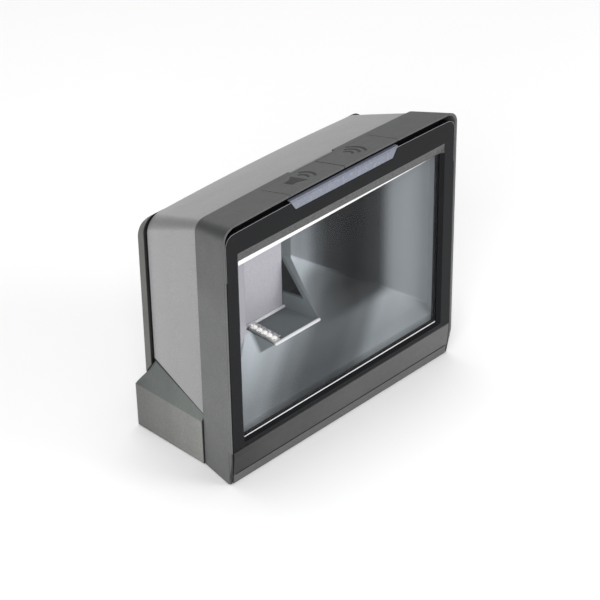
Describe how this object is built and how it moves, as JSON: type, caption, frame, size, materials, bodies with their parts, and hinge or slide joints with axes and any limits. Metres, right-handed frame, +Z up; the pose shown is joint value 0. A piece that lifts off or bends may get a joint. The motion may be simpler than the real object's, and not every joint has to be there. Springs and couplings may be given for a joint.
{
  "type": "presentation barcode scanner",
  "caption": "Upright counter-standing presentation barcode scanner with a large glass window in a gloss black frame, a pale camera panel inside, two top keys and a status light.",
  "frame": {"origin": "on the counter, under the middle of the scanner's footprint", "axes": "+X to the right of someone facing the window, +Z up; the window faces -Y"},
  "size_m": [0.152, 0.068, 0.1378],
  "materials": {
    "graphite_shell": "fine moulded texture, satin",
    "light_shell": "fine moulded texture, satin",
    "rear_shell": "fine moulded texture, satin",
    "boot_shell": "fine moulded texture, satin",
    "base_plastic": "matt moulded",
    "gloss_black": "polished",
    "window_glass": "clear coated",
    "seal_rubber": "matt foam",
    "foot_rubber": "matt",
    "light_lens": "milky, polished",
    "led_body": "clear resin over white",
    "light_diffuser": "milky",
    "board_white": "white solder mask",
    "board_green": "green solder mask",
    "baffle_plastic": "smooth moulded",
    "panel_plastic": "smooth pale moulded",
    "black_plastic": "matt moulded",
    "barrel_metal": "black anodised",
    "optical_glass": "coated lens",
    "sensor_black": "sealed package",
    "chip_black": "moulded epoxy",
    "ribbon_film": "amber film",
    "plunger_plastic": "matt",
    "switch_steel": "stamped cover",
    "port_plastic": "moulded",
    "contact_metal": "gold flashed",
    "insert_brass": "knurled",
    "speaker_steel": "zinc plated",
    "cone_fabric": "pressed paper",
    "label_film": "blank printed film",
    "screw_steel": "zinc plated"
  },
  "bodies": {
    "housing": {"aux_port": "port_plastic", "baffle_screws": "screw_steel", "base_boot": "boot_shell", "base_plate": "base_plastic", "base_screws": "screw_steel", "board_chips": "chip_black", "board_screws": "screw_steel", "button_board": "board_green", "button_ribbon": "ribbon_film", "camera_board": "board_green", "camera_ribbon": "ribbon_film", "front_housing": "graphite_shell", "function_switch": "switch_steel", "host_port": "port_plastic", "illumination_lamps": "led_body", "image_sensor": "sensor_black", "imager_bracket": "black_plastic", "imager_cover": "panel_plastic", "jack_pin": "contact_metal", "lamp_board": "board_white", "lens_barrel": "barrel_metal", "lens_elements": "optical_glass", "lens_holder": "black_plastic", "light_bar": "light_diffuser", "light_bar_board": "board_white", "light_bar_lamps": "led_body", "main_board": "board_green", "mid_housing": "light_shell", "optics_baffle": "baffle_plastic", "port_contacts": "contact_metal", "power_jack": "port_plastic", "rating_label": "label_film", "rear_cover": "rear_shell", "rear_screws": "screw_steel", "rubber_feet": "foot_rubber", "scan_window": "window_glass", "speaker_cone": "cone_fabric", "speaker_frame": "speaker_steel", "status_board": "board_green", "status_lamps": "led_body", "status_lens": "light_lens", "threaded_inserts": "insert_brass", "volume_switch": "switch_steel", "window_frame": "gloss_black", "window_gasket": "seal_rubber"},
    "volume_button": {"volume_key": "graphite_shell", "volume_plunger": "plunger_plastic"},
    "function_button": {"function_key": "graphite_shell", "function_plunger": "plunger_plastic"}
  },
  "joints": [
    {"name": "volume_press", "type": "slide", "parent": "housing", "child": "volume_button", "axis": [0, 0, -1], "range_m": [0, 0.0006], "stiffness_N_per_m": 1500, "springref_m": -0.0002},
    {"name": "function_press", "type": "slide", "parent": "housing", "child": "function_button", "axis": [0, 0, -1], "range_m": [0, 0.0006], "stiffness_N_per_m": 1500, "springref_m": -0.0002}
  ]
}
